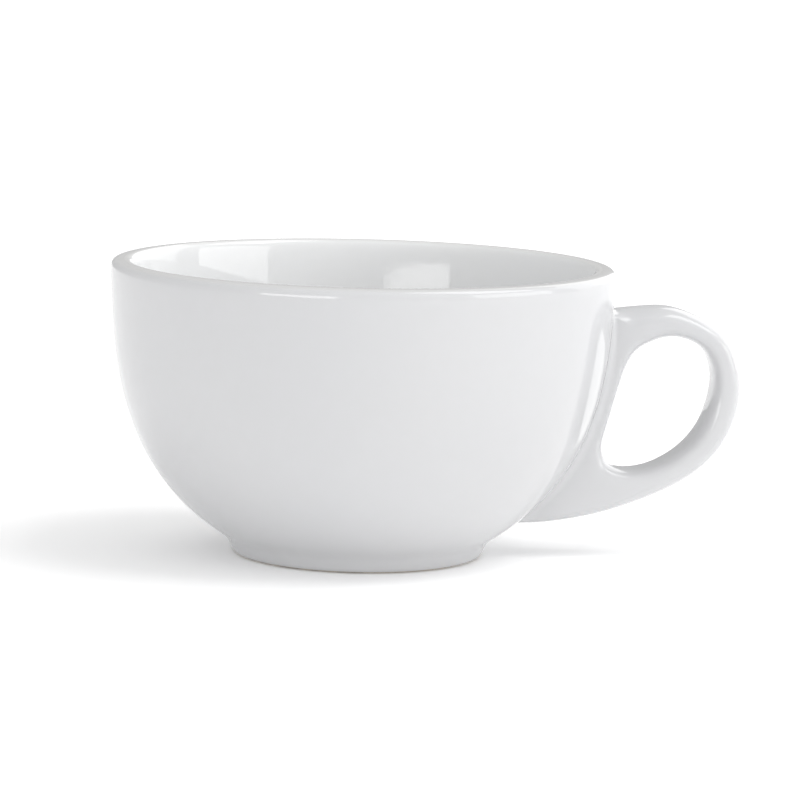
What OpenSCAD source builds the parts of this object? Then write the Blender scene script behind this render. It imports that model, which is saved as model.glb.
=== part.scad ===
// Cappuccino cup: a wide porcelain bowl on a low foot ring, with a ring handle luted to its
// wall with slip, and a coat of glaze over everything but the tread.
// The axis of the cup is Z, the tread stands on z = 0 and the handle reaches out along +X.

/* [Bowl] */
// Outside diameter of the mouth, glaze included
mouth_d = 105; // [90:1:125]
// Height from the table to the crest of the lip
cup_h = 61; // [55:1:72]
// Lean of the outside wall below the lip, in degrees from upright
wall_lean = 2.9; // [1:0.1:5]
// Rise of the underside where it meets the foot, in degrees from level
underside_rise = 32; // [28:1:36]
// Lean of the inside wall below the lip, in degrees from upright
inside_lean = 7; // [4:0.1:8]
// Thickness of the porcelain floor above the foot ring
floor_t = 4.7; // [3.5:0.1:7]

/* [Lip] */
// Thickness of the wall where the lip ends on the inside, glaze included
lip_w = 5.1; // [4.6:0.1:6]
// Distance of the crest of the lip in from the side of the mouth
lip_crest_w = 3.5; // [2.8:0.1:4]
// Height of the rounding outside the crest of the lip
lip_drop = 2.7; // [1.5:0.1:4]
// Height of the rounding inside the crest of the lip
lip_inner_drop = 4.5; // [3:0.1:5.5]

/* [Foot] */
// Outside diameter of the foot where it meets the bowl, glaze included
foot_d = 54.6; // [46:0.2:60]
// Height of the foot ring
foot_h = 3; // [2.4:0.1:4.5]
// How far the underside stands out past the foot where the concave sweep starts
neck_sweep = 1.1; // [0.6:0.1:2]
// Height of that start above the top of the foot ring
neck_rise = 1.05; // [0.7:0.05:1.6]
// How far the foot draws in from its top to its tread
foot_taper = 2.2; // [1.4:0.1:3]
// Width of the bare tread
tread_w = 2.6; // [1.8:0.1:3.6]
// How far the inside of the foot ring draws in from the tread to the recess
recess_draw = 0.9; // [0.4:0.1:1.4]

/* [Handle] */
// Reach of the handle past the side of the mouth, glaze included as in the sizes below
handle_reach = 27.4; // [23:0.2:34]
// Height of the top of the strap
handle_top_z = 52.8; // [50:0.1:54]
// Height of the underside of the lower root
handle_low_z = 7.3; // [6.5:0.1:9]
// Thickness of the strap at its outermost point
strap_t = 5.9; // [5:0.1:7]
// Thickness of the strap at its top
strap_top_t = 6.2; // [5.5:0.1:7.5]
// Width of the strap at its outermost point
strap_w = 12; // [9.5:0.1:13]
// Width of the handle at the wall, without its fillet
root_w = 13; // [10.5:0.1:14]
// Height of the lowest point of the finger opening
opening_low_z = 18.3; // [16:0.1:21]
// Width of the web that runs down the wall beside the opening
web_w = 3.6; // [3.2:0.1:5]
// Radius of the fillet where the handle meets the wall
fillet_r = 2; // [1.2:0.1:2.6]
// Depth of the rounding on the inner side of the strap
inner_round = 3.4; // [2.5:0.1:4.2]
// Depth of the rounding on the outer side of the strap
outer_round = 3.8; // [2.5:0.1:4.5]

/* [Glaze and slip] */
// Thickness of the glaze coat
glaze_t = 0.3; // [0.3:0.05:0.45]
// Thickness of the layer of slip that fixes the handle
slip_t = 0.2; // [0.1:0.05:0.25]

/* [Hidden] */
$fn = 144;

// Pulls of the two curves of the bowl, as shares of the heights and widths that they span
wall_pull_share = 0.31;
underside_pull_share = 1.117;
inside_pull_share = 0.7;
floor_pull_share = 0.92;
lip_pull_share = 0.6;
// Corners that the sweeps of the foot turn round, as shares of its steps
neck_corner_share = [0.22, 0.49];
foot_turn_share = [0.36, 0.43];
foot_corner_share = [0.6, 0.03];
recess_corner_share = [0.25, 0.2];
// Points along each curve
curve_n = 28;
lip_n = 10;
sweep_n = 5;
foot_n = 6;

mouth_r = mouth_d / 2;
foot_r = foot_d / 2;
tread_r = foot_r - foot_taper;
tread_in_r = tread_r - tread_w;
recess_r = tread_in_r - recess_draw;
floor_z = foot_h + floor_t + glaze_t;

// Points of the glazed profile, in the half plane of radius and height
shoulder = [mouth_r, cup_h - lip_drop];
crest = [mouth_r - lip_crest_w, cup_h];
inside_lip = [mouth_r - lip_w, cup_h - lip_inner_drop];
inside_up = [sin(inside_lean), cos(inside_lean)];
neck = [foot_r + neck_sweep, foot_h + neck_rise];
neck_corner = [foot_r + neck_sweep * neck_corner_share.x, foot_h + neck_rise * neck_corner_share.y];
foot_top = [foot_r, foot_h];
foot_turn = [foot_r - foot_taper * foot_turn_share.x, foot_h * foot_turn_share.y];
foot_corner = [foot_r - foot_taper * foot_corner_share.x, foot_h * foot_corner_share.y];
tread_edge = [tread_r, 0];
recess_turn = [tread_in_r - recess_draw * recess_corner_share.x, foot_h * recess_corner_share.y];

wall_pull = (shoulder.y - neck.y) * wall_pull_share;
underside_pull = (shoulder.x - neck.x) * underside_pull_share;
inside_pull = (inside_lip.y - floor_z) * inside_pull_share;
floor_pull = inside_lip.x * floor_pull_share;
lip_rise_pull = lip_inner_drop * lip_pull_share;
lip_crest_pull = (crest.x - inside_lip.x) * lip_pull_share;

function mix(a, b, k) = a + (b - a) * k;
function unit(v) = v / norm(v);
function clamp01(k) = min(1, max(0, k));
function smooth(k) = clamp01(k) * clamp01(k) * (3 - 2 * clamp01(k));
function part(list, from, to) = [for (i = [from : to]) list[i]];
function back(list) = [for (i = [len(list) - 1 : -1 : 0]) list[i]];

// A cubic curve from p0 to p3, and a quadratic one from p0 to p2, without their first point
function cubic(p0, p1, p2, p3, n) = [
    for (i = [1 : n]) let (t = i / n, u = 1 - t)
        u * u * u * p0 + 3 * u * u * t * p1 + 3 * u * t * t * p2 + t * t * t * p3
];
function quadratic(p0, p1, p2, n) = [
    for (i = [1 : n]) let (t = i / n, u = 1 - t) u * u * p0 + 2 * u * t * p1 + t * t * p2
];
function arc(centre, rx, ry, a0, a1, n) = [
    for (i = [1 : n]) let (a = mix(a0, a1, i / n)) centre + [rx * cos(a), ry * sin(a)]
];

// The glazed profile runs from the middle of the floor up the inside, over the lip and down
// the outside to the line on the foot where the glaze stops
inside_curve = cubic(
    [0, floor_z], [floor_pull, floor_z],
    inside_lip - inside_pull * inside_up, inside_lip, curve_n);
inside_lip_curve = cubic(
    inside_lip, inside_lip + lip_rise_pull * inside_up, crest - [lip_crest_pull, 0], crest, lip_n);
outside_lip_arc = arc([crest.x, shoulder.y], lip_crest_w, lip_drop, 90, 0, lip_n);
outside_curve = cubic(
    shoulder, shoulder - wall_pull * [sin(wall_lean), cos(wall_lean)],
    neck + underside_pull * [cos(underside_rise), sin(underside_rise)], neck, curve_n);
neck_curve = quadratic(neck, neck_corner, foot_top, sweep_n);
foot_curve = quadratic(foot_turn, foot_corner, tread_edge, foot_n);
glazed = concat(
    [[0, floor_z]], inside_curve, inside_lip_curve, outside_lip_arc, outside_curve, neck_curve,
    [foot_turn], part(foot_curve, 0, foot_n / 2 - 1));
crest_i = curve_n + lip_n;
seat_i = crest_i + lip_n + curve_n + sweep_n;
last_i = len(glazed) - 1;

// The bare porcelain lies one coat of glaze below that profile
function inward(pts, i) = let (v = pts[min(i + 1, len(pts) - 1)] - pts[max(i - 1, 0)]) unit([v.y, -v.x]);
clay = [
    for (i = [0 : last_i]) let (p = glazed[i] + glaze_t * inward(glazed, i))
        [i == 0 ? 0 : p.x, i == seat_i ? foot_h : p.y]
];
clay_wall = [for (p = part(clay, crest_i, last_i)) [p.y, p.x]];

module bowl() {
    color("ivory")
    rotate_extrude()
        polygon(concat(part(clay, 0, seat_i), [[0, foot_h]]));
}

module foot_ring() {
    color("ivory")
    rotate_extrude()
        polygon(concat(part(clay, seat_i, last_i),
            [tread_edge, [tread_in_r, 0], recess_turn, [recess_r, foot_h]]));
}

module inner_glaze() {
    color("white")
    rotate_extrude()
        polygon(concat(part(glazed, 0, crest_i), back(part(clay, 0, crest_i))));
}

// The coat outside the cup has a window where the handle is fixed to the bare wall
module outer_glaze() {
    color("white")
    difference() {
        rotate_extrude()
            polygon(concat(part(glazed, crest_i, last_i), back(part(clay, crest_i, last_i))));
        rotate([90, 0, 90])
            linear_extrude(height = mouth_d)
                polygon(footprint());
    }
}

// The glaze in the recess under the cup, parted from the rest by the bare tread
module base_glaze() {
    color("white")
    rotate_extrude()
        polygon([
            [0, foot_h], [recess_r, foot_h], recess_turn,
            recess_turn - [glaze_t, 0], [recess_r - glaze_t, foot_h - glaze_t], [0, foot_h - glaze_t]
        ]);
}

// Matching points of the opening and of the outer edge of the handle, anticlockwise from the
// outermost point: the first share is the way out from the wall, the second the way up
opening_share = [
    [1, 0.643], [0.952, 0.825], [0.798, 0.946], [0.527, 1], [0.3, 0.969], [0.15, 0.913],
    [0.068, 0.846], [0.02, 0.75], [0, 0.64], [-0.01, 0.49], [0.007, 0.314], [0.04, 0.193],
    [0.108, 0.1], [0.17, 0.05], [0.26, 0.014], [0.362, 0], [0.51, 0.025], [0.665, 0.104],
    [0.804, 0.221], [0.926, 0.396]
];
outline_share = [
    [1, 0.612], [0.947, 0.79], [0.795, 0.908], [0.504, 0.991], [0.26, 1], [0.08, 0.989],
    [0, 0.98], [0, 0.87], [0, 0.72], [0, 0.56], [0, 0.39], [0, 0.25],
    [0, 0.12], [0, 0.03], [0.14, 0], [0.291, 0.033], [0.474, 0.094], [0.657, 0.177],
    [0.814, 0.279], [0.939, 0.425]
];
// Keys at which the outer edge meets the wall, above and below
top_key = 6;
low_key = 13;
keys = len(opening_share);
key_steps = 3;
stations = keys * key_steps;
top_i = top_key * key_steps;
low_i = low_key * key_steps;
// Points round half a section: inner rounding, flank, and outer rounding or seat
round_n = 5;
flank_n = 4;
seat_n = 4;
half_n = round_n + flank_n + seat_n;
ring_n = 2 * half_n;
seat_from = round_n + flank_n;
seat_to = ring_n - seat_from;
// Fullness of the two roundings: a half would be a box, one an ellipse
inner_power_share = 0.6;
outer_power_share = 0.9;
// Parts of the thickness that the inner and the outer rounding may take
inner_round_share = 0.5;
outer_round_share = 0.45;
// Depth of the outer rounding at the two ends of the seat
tip_round = 1.7;
// Size of the fillet at the ends of the seat, and the sections over which it grows to its own
end_fillet_share = 0.35;
end_steps = 6;

// The bare handle lies one coat of glaze inside the sizes named above
bare_out_r = mouth_r + handle_reach - glaze_t;
bare_in_r = mouth_r + handle_reach - strap_t + glaze_t;
bare_top_z = handle_top_z - glaze_t;
bare_low_z = handle_low_z + glaze_t;
opening_bare_top_z = handle_top_z - strap_top_t + glaze_t;
opening_bare_low_z = opening_low_z - glaze_t;

function wall_r(z) = lookup(z, clay_wall);
function spline(list, k, t) = let (
    n = len(list), a = list[(k + n - 1) % n], b = list[k], c = list[(k + 1) % n], d = list[(k + 2) % n])
    (2 * b + (c - a) * t + (2 * a - 5 * b + 4 * c - d) * t * t + (3 * b - a - 3 * c + d) * t * t * t) / 2;
function station(list, i) = spline(list, floor(i / key_steps), (i % key_steps) / key_steps);
function opening_point(i) = let (
    p = station(opening_share, i), z = mix(opening_bare_low_z, opening_bare_top_z, p.y))
    [mix(wall_r(z) + web_w, bare_in_r, p.x), z];
function outline_point(i) = let (
    p = station(outline_share, i), z = mix(bare_low_z, bare_top_z, p.y))
    [mix(wall_r(z), bare_out_r, max(0, p.x)), z];

// Clear distance from the bare wall to a point of the handle's middle plane
wall_step = glaze_t;
function wall_slope(z) = (wall_r(z + wall_step) - wall_r(z - wall_step)) / (2 * wall_step);
function clearance(p) = (p.x - wall_r(p.y)) / norm([1, wall_slope(p.y)]);
// How far the handle spreads at that distance from the wall, to run into it in a fillet
function spread(d, r) = d >= r ? 0 : r - sqrt(r * r - pow(r - max(0, d), 2));
function on_wall(r, y) = sqrt(r * r - y * y);
// The fillet draws in towards the two ends of the seat
function fillet_at(i) = let (steps = min(abs(i - top_i), abs(i - low_i)))
    fillet_r * mix(end_fillet_share, 1, smooth(steps / end_steps));

// Half a section from the opening to the outer edge: each entry is the distance along it, the
// share of the half width, and the direction in which the skin faces
function half_section(t, ri, ro, seated) = concat(
    [for (j = [0 : round_n - 1]) let (a = 90 * j / round_n)
        [ri * (1 - pow(cos(a), inner_power_share)), pow(sin(a), inner_power_share), -cos(a), sin(a)]],
    [for (j = [0 : flank_n - 1]) let (k = 1 - pow(1 - j / flank_n, 2))
        [mix(ri, t - ro, k), 1, 0, 1]],
    [for (j = [0 : seat_n]) let (a = 90 * j / seat_n)
        seated
            ? [t, 1 - j / seat_n, 0, 1 - j / seat_n]
            : [t - ro + ro * pow(sin(a), outer_power_share), pow(cos(a), outer_power_share), sin(a), cos(a)]]);

// One section of the handle, grown by a coat of glaze or not, with its back on a wall of radius
// wall_r + lift
function section(i, grow, lift) = let (
    inner = opening_point(i), outer = outline_point(i), dir = unit(outer - inner),
    seated = i > top_i && i < low_i, tip = i == top_i || i == low_i,
    t0 = norm(outer - inner),
    ri = min(inner_round, inner_round_share * t0) + grow,
    ro = seated ? 0 : min(tip ? tip_round : outer_round, outer_round_share * t0) + grow,
    t = t0 + (seated || tip ? grow : 2 * grow),
    half = half_section(t, ri, ro, seated),
    right = [for (j = [0 : half_n]) skin_point(inner - grow * dir, dir, half[j], grow, lift,
        fillet_at(i) - grow, (seated || tip) && j >= seat_from)]
) concat(right, [for (j = [half_n - 1 : -1 : 1]) let (p = right[j]) [p.x, -p.y, p.z]]);

function skin_point(from, dir, h, grow, lift, r, on_seat) = let (
    m = from + dir * h[0],
    d = clearance(m) - lift,
    out = clamp01((m.x - wall_r(m.y)) / (bare_out_r - wall_r(m.y))),
    half_w = mix(root_w, strap_w, out) / 2 - glaze_t + grow,
    more = spread(d, r),
    y = h[1] * half_w + h[3] * more,
    q = m + dir * max(0, h[2]) * more,
    seat = on_wall(wall_r(q.y) + lift, y),
    sag = (wall_r(q.y) - on_wall(wall_r(q.y), y)) * (1 - smooth(d / (2 * fillet_r)))
) [on_seat ? seat : max(q.x - sag, seat), y, q.y];

function skin(grow, lift) = [for (i = [0 : stations - 1]) each section(i, grow, lift)];

// Faces of the grid of sections: the seat is the patch that lies against the wall
function in_seat(i, j) = i >= top_i && i < low_i && j >= seat_from && j < seat_to;
function at(i, j, base) = base + (i % stations) * ring_n + (j % ring_n);
function quad(i, j, base) = [
    [at(i, j, base), at(i + 1, j + 1, base), at(i + 1, j, base)],
    [at(i, j, base), at(i, j + 1, base), at(i + 1, j + 1, base)]
];
function flip(faces) = [for (f = faces) back(f)];
function cells(seat, base) = [
    for (i = [0 : stations - 1], j = [0 : ring_n - 1])
        if (in_seat(i, j) == seat) each quad(i, j, base)
];
// Side walls between the edges of the patch on two grids
function rim_quad(a0, a1, b0, b1) = [[a0, b1, a1], [a0, b0, b1]];
function rim(base) = concat(
    [for (i = [top_i : low_i - 1]) each rim_quad(
        at(i, seat_from, 0), at(i + 1, seat_from, 0), at(i, seat_from, base), at(i + 1, seat_from, base))],
    [for (i = [top_i : low_i - 1]) each rim_quad(
        at(i + 1, seat_to, 0), at(i, seat_to, 0), at(i + 1, seat_to, base), at(i, seat_to, base))],
    [for (j = [seat_from : seat_to - 1]) each rim_quad(
        at(top_i, j + 1, 0), at(top_i, j, 0), at(top_i, j + 1, base), at(top_i, j, base))],
    [for (j = [seat_from : seat_to - 1]) each rim_quad(
        at(low_i, j, 0), at(low_i, j + 1, 0), at(low_i, j, base), at(low_i, j + 1, base))]);

// Outline of the patch on the wall, seen from the front of the handle
function footprint() = let (
    s = [for (i = [top_i : low_i]) section(i, 0, 0)], n = low_i - top_i)
    concat(
        [for (i = [0 : n - 1]) [s[i][seat_from].y, s[i][seat_from].z]],
        [for (j = [seat_from : seat_to - 1]) [s[n][j].y, s[n][j].z]],
        [for (i = [n : -1 : 1]) [s[i][seat_to].y, s[i][seat_to].z]],
        [for (j = [seat_to : -1 : seat_from + 1]) [s[0][j].y, s[0][j].z]]);

module handle() {
    color("ivory")
    polyhedron(points = skin(0, slip_t), faces = concat(cells(false, 0), cells(true, 0)), convexity = 6);
}

module handle_slip() {
    base = stations * ring_n;
    color("linen")
    polyhedron(
        points = concat(skin(0, slip_t), skin(0, 0)),
        faces = concat(flip(cells(true, 0)), cells(true, base), rim(base)),
        convexity = 6);
}

module handle_glaze() {
    base = stations * ring_n;
    color("white")
    polyhedron(
        points = concat(skin(glaze_t, glaze_t), skin(0, slip_t)),
        faces = concat(cells(false, 0), flip(cells(false, base)), rim(base)),
        convexity = 10);
}

bowl();
foot_ring();
handle();
handle_slip();
inner_glaze();
outer_glaze();
base_glaze();
handle_glaze();
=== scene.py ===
import math

import bpy
import numpy as np
from bpy.props import FloatProperty, FloatVectorProperty, IntProperty, PointerProperty
from bpy.types import Operator, Panel, PropertyGroup
from mathutils import Matrix, Vector


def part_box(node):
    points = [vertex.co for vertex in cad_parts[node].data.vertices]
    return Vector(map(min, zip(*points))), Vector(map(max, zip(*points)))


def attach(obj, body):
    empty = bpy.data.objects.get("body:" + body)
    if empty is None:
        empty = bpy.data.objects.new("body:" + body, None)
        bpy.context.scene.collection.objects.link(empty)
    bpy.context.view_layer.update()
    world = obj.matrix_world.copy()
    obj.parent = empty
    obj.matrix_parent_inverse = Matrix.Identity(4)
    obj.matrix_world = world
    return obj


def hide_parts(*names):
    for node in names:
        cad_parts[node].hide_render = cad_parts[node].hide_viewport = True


bl_info = {
    "name": "Cappuccino cup",
    "version": (1, 0, 0),
    "blender": (4, 5, 0),
    "location": "3D View > Sidebar > Cup",
    "description": "Coats the packed cappuccino cup with glaze, grinds its foot and sets it in a small studio",
    "category": "Object",
}

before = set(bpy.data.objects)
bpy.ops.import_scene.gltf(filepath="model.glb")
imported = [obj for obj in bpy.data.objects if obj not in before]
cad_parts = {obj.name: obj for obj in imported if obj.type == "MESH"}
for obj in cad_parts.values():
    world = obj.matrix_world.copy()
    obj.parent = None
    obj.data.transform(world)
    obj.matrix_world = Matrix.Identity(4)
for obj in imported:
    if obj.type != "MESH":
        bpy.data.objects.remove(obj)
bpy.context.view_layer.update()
COAT_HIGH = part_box("outer_glaze")[1]
HANDLE_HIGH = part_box("handle_glaze")[1]
MM = 0.001


# Sizes and colours

def length(name, words, default):
    return FloatProperty(name=name, description=words, default=default, min=0.0,
                         precision=5, unit="LENGTH", subtype="DISTANCE")


def angle(name, words, degrees):
    return FloatProperty(name=name, description=words, default=math.radians(degrees),
                         unit="ROTATION", subtype="ANGLE")


def share(name, words, default):
    return FloatProperty(name=name, description=words, default=default, min=0.0, max=1.0)


def colour(name, words, default):
    return FloatVectorProperty(name=name, description=words, default=default, size=3,
                               min=0.0, max=1.0, subtype="COLOR")


def light(name, words, default):
    return FloatProperty(name=name, description=words, default=default, min=0.0,
                         soft_max=10.0, subtype="FACTOR")


class CupBowlSizes(PropertyGroup):
    mouth_d: length("Mouth", "Outside diameter of the mouth, glaze included", 2 * COAT_HIGH.x)
    height: length("Height", "Height of the crest of the lip", COAT_HIGH.z)
    wall_lean: angle("Wall lean", "Lean of the outside wall below the lip", 2.9)
    underside_rise: angle("Underside rise", "Rise of the underside where it meets the foot", 32)
    inside_lean: angle("Inside lean", "Lean of the inside wall below the lip", 7)
    floor_z: length("Floor", "Height of the glazed floor inside the cup", 8 * MM)
    lip_w: length("Lip", "Thickness of the wall where the lip ends on the inside", 5.1 * MM)
    lip_crest_w: length("Lip crest", "Distance of the crest in from the side of the mouth", 3.5 * MM)
    lip_drop: length("Lip drop", "Height of the rounding outside the crest", 3 * MM)
    lip_inner_drop: length("Lip inside", "Height of the rounding inside the crest", 4.5 * MM)
    glaze_t: length("Glaze", "Thickness of the glaze coat", 0.3 * MM)


class CupFootSizes(PropertyGroup):
    foot_d: length("Foot", "Outside diameter of the foot where it meets the bowl", 54.6 * MM)
    foot_h: length("Foot height", "Height of the foot ring", 3 * MM)
    neck_sweep: length("Neck sweep", "How far the sweep above the foot stands out", 1.1 * MM)
    neck_rise: length("Neck rise", "Height of the sweep above the foot", 1.05 * MM)
    neck_ease: length("Neck ease", "How softly the bowl runs into the foot", 1.1 * MM)
    taper: length("Taper", "How far the foot draws in to its tread", 2.2 * MM)
    tread_w: length("Tread", "Width of the bare tread", 2.6 * MM)
    recess_draw: length("Recess draw", "How far the inside of the ring draws in", 0.9 * MM)
    recess_dish: length("Recess dish", "Width over which the recess runs into its corner", 2.2 * MM)
    tread_edge_r: length("Tread edge", "Radius of the two ground edges of the tread", 0.35 * MM)


class CupHandleSizes(PropertyGroup):
    out_x: length("Reach", "Distance of the outermost point from the axis", HANDLE_HIGH.x)
    top_z: length("Top", "Height of the top of the strap", 52.8 * MM)
    low_z: length("Low", "Height of the underside of the lower root", 6.85 * MM)
    strap_t: length("Strap", "Thickness of the strap at its outermost point", 5.9 * MM)
    strap_top_t: length("Strap top", "Thickness of the strap at its top", 6.2 * MM)
    strap_w: length("Strap width", "Width at the outermost point", 12 * MM)
    root_w: length("Root width", "Width at the wall, without the fillet", 13 * MM)
    opening_low_z: length("Opening", "Height of the lowest point of the opening", 18.3 * MM)
    web_w: length("Web", "Width of the web down the wall", 3.6 * MM)
    fillet_r: length("Fillet", "Radius of the fillet down the wall", 2.1 * MM)
    top_fillet_r: length("Top fillet", "Radius of the fillet at the top of the root", 1.1 * MM)
    low_fillet_r: length("Low fillet", "Radius of the fillet at the low end of the root", 1.7 * MM)
    inner_round: length("Inner rounding", "Depth of the rounding towards the opening", 3.4 * MM)
    outer_round: length("Outer rounding", "Depth of the rounding on the outer side", 3.8 * MM)
    tip_round: length("Tip rounding", "Depth of the outer rounding at the two ends of the root", 1.6 * MM)


class CupFinish(PropertyGroup):
    # The inside glaze is the same glaze as the outside one, painted lighter: painted light standing in for the
    # brighter light that falls inside the bowl.
    glaze: colour("Glaze", "Colour of the glazed porcelain", (0.56, 0.562, 0.572))
    glaze_in_painted_lighter: colour("Inside glaze", "Colour of the thicker glaze inside the bowl", (0.725, 0.729, 0.732))
    glaze_thin: colour("Thin glaze", "Colour where the glaze runs thin over an edge", (0.57, 0.565, 0.555))
    clay: colour("Bare clay", "Colour of the bare fired porcelain", (0.62, 0.58, 0.52))
    speck: colour("Speck", "Colour of the rare iron specks in the glaze", (0.22, 0.17, 0.12))
    gloss: share("Gloss", "Roughness of the glaze", 0.045)
    ripple: length("Ripple", "Height of the slow waves in the fired surface", 0.05 * MM)
    peel: length("Peel", "Height of the fine dimpling of the glaze", 0.004 * MM)
    pinhole: length("Pinholes", "Depth of the rare pinholes in the glaze", 0.03 * MM)
    grain: length("Grain", "Height of the grain of the bare clay", 0.012 * MM)


class CupStudio(PropertyGroup):
    floor: colour("Floor", "Colour of the floor", (0.97, 0.97, 0.97))
    floor_glow: light("Floor glow", "Light that comes through the floor, as on a lit table", 0.1)
    sky_behind: light("Room behind", "Brightness of the room behind the cup, a little to the right", 0.54)
    sky_front: light("Room in front", "Brightness of the room behind the camera, a little to the left", 0.98)
    right: light("Right softbox", "Brightness of the softbox on the right", 2.4)
    high: light("High softbox", "Brightness of the softbox above the one on the right", 3.4)
    behind: light("Back softbox", "Brightness of the softbox at the back on the right", 1.25)
    window: light("Window", "Brightness of the low window left of the camera", 4.0)
    lens: FloatProperty(name="Lens", description="Focal length for a 36 mm sensor, in millimetres",
                        default=173.1, min=1.0)
    steps: IntProperty(name="Steps", description="Steps round the bowl", default=256, min=64, max=512)


# Curves and meshes

# Spacing of the points while corners are eased, and how many radii the easing reaches
EASE_STEP, EASE_RADII = 0.05 * MM, 4
# Longest step and largest turn, in degrees, from point to point of a coat, the foot and the recess
COAT_STEP, COAT_TURN = 0.8 * MM, 2.0
FOOT_STEP, FOOT_TURN = 0.6 * MM, 4
RECESS_STEP, RECESS_TURN = 0.9 * MM, 3
# A point nearer to the axis than this is on it
ON_AXIS = 1e-7


def cubic(p0, p1, p2, p3, n=160):
    t = np.linspace(0, 1, n + 1)[:, None]
    u = 1 - t
    return u ** 3 * p0 + 3 * u * u * t * p1 + 3 * u * t * t * p2 + t ** 3 * p3


def quadratic(p0, p1, p2, n=60):
    t = np.linspace(0, 1, n + 1)[:, None]
    u = 1 - t
    return u * u * p0 + 2 * u * t * p1 + t * t * p2


def lengths_along(points):
    return np.concatenate([[0], np.cumsum(np.linalg.norm(np.diff(points, axis=0), axis=1))])


def at_lengths(points, wanted):
    s = lengths_along(points)
    return np.stack([np.interp(wanted, s, points[:, k]) for k in range(points.shape[1])], 1)


def softened(points, radius, mirror_start=False):
    """The line with its corners eased over about that radius, its ends kept in place."""
    total = lengths_along(points)[-1]
    line = at_lengths(points, np.linspace(0, total, int(total / EASE_STEP) + 1))
    reach = int(EASE_RADII * radius / EASE_STEP)
    if mirror_start:
        before = line[reach:0:-1] * [-1, 1]
    else:
        before = line[0] - (line[1] - line[0]) * np.arange(reach, 0, -1)[:, None]
    after = line[-1] + (line[-1] - line[-2]) * np.arange(1, reach + 1)[:, None]
    padded = np.concatenate([before, line, after])
    weights = np.exp(-0.5 * (np.arange(-reach, reach + 1) * EASE_STEP / radius) ** 2)
    weights /= weights.sum()
    return np.stack([np.convolve(padded[:, k], weights, "valid") for k in range(2)], 1)


def thinned(points, longest, turn):
    """Fewer points on the line: closer together where it bends."""
    edge = np.diff(points, axis=0)
    size = np.linalg.norm(edge, axis=1)
    heading = np.unwrap(np.arctan2(edge[:, 1], edge[:, 0]))
    bend = np.abs(np.diff(heading, prepend=heading[0]))
    cost = np.concatenate([[0], np.cumsum(size / longest + bend / math.radians(turn))])
    wanted = np.linspace(0, cost[-1], max(2, int(math.ceil(cost[-1]))) + 1)
    s = np.interp(wanted, cost, np.arange(len(points)))
    return np.stack([np.interp(s, np.arange(len(points)), points[:, k]) for k in range(2)], 1)


def turned_left(run):
    """Unit vectors at a right angle to the run of a profile, on its left."""
    normal = np.stack([-run[:, 1], run[:, 0]], 1)
    return normal / np.linalg.norm(normal, axis=1)[:, None]


def named_mesh(name, points, faces, normals=None):
    mesh = bpy.data.meshes.new(name)
    mesh.from_pydata(points.tolist(), [], faces)
    mesh.validate()
    mesh.update()
    mesh.shade_smooth()
    piece = bpy.data.objects.new(name, mesh)
    bpy.context.scene.collection.objects.link(piece)
    if normals is not None and len(normals) == len(mesh.vertices):
        mesh.normals_split_custom_set_from_vertices(normals.tolist())
    return piece


def turned(name, section, normals, steps):
    """A closed section turned round the axis. A point on the axis is made once."""
    a = np.arange(steps) * 2 * math.pi / steps
    points, facing, rows = [], [], []
    for (r, z), (nr, nz) in zip(section, normals):
        start = len(points)
        if r < ON_AXIS:
            points.append((0, 0, z))
            facing.append((0, 0, 1 if nz > 0 else -1))
            rows.append([start])
        else:
            points.extend(zip(r * np.cos(a), r * np.sin(a), np.full(steps, z)))
            facing.extend(zip(nr * np.cos(a), nr * np.sin(a), np.full(steps, nz)))
            rows.append(list(range(start, start + steps)))
    faces = []
    for one, two in zip(rows, rows[1:] + rows[:1]):
        if len(one) == 1 and len(two) == 1:
            continue
        for i in range(steps):
            j = (i + 1) % steps
            if len(one) == 1:
                faces.append((one[0], two[i], two[j]))
            elif len(two) == 1:
                faces.append((one[j], one[i], two[0]))
            else:
                faces.append((one[j], one[i], two[i], two[j]))
    return named_mesh(name, np.array(points, float), faces, np.array(facing, float))


# The turned profile

# How strongly the curves of the profile pull, as shares of the lengths they span
FLOOR_PULL_SHARE, INSIDE_PULL_SHARE = 0.92, 0.7
LIP_INSIDE_PULL_SHARE, LIP_OUTSIDE_PULL_SHARE = 0.6, 0.9
WALL_PULL_SHARE, UNDERSIDE_PULL_SHARE = 0.31, 1.117
# Where the curves of the foot bend: the first a share of how far it stands out or draws in, the
# second a share of its height
NECK_CORNER_SHARES = (0.22, 0.49)
FOOT_TOP_SHARES = (0.36, 0.43)
FOOT_CORNER_SHARES = (0.6, 0.03)
RECESS_TURN_SHARES = (0.25, 0.2)
# How far the corners of the profile are eased, and how far from the neck and the shoulder it is
# eased more, the shoulder by a share only
PROFILE_EASE = 0.32 * MM
NECK_REACH, SHOULDER_REACH = 1.6 * MM, 1.2 * MM
SHOULDER_EASE_SHARE = 0.4
# The bead of glaze on the foot thins to this share of the coat at its very end
BEAD_TIP_SHARE = 0.05
# Steps round the outer and the inner ground edge of the tread
EDGE_OUT_STEPS, EDGE_IN_STEPS = 10, 8
# An edge of the foot ring that turns more than this is shaded as sharp
SHARP_DEGREES = 50
# Ease of the recess coat, and how deep it is at its corner and at the axis, in coats
RECESS_EASE = 0.35 * MM
RECESS_CORNER_COATS, RECESS_MIDDLE_COATS = 1.1, 1.35
RECESS_CORNER_FACING = (0.7, 0.7)


def leaning(lean):
    """A unit vector that leans out from upright by that angle."""
    return np.array([math.sin(lean), math.cos(lean)])


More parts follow.
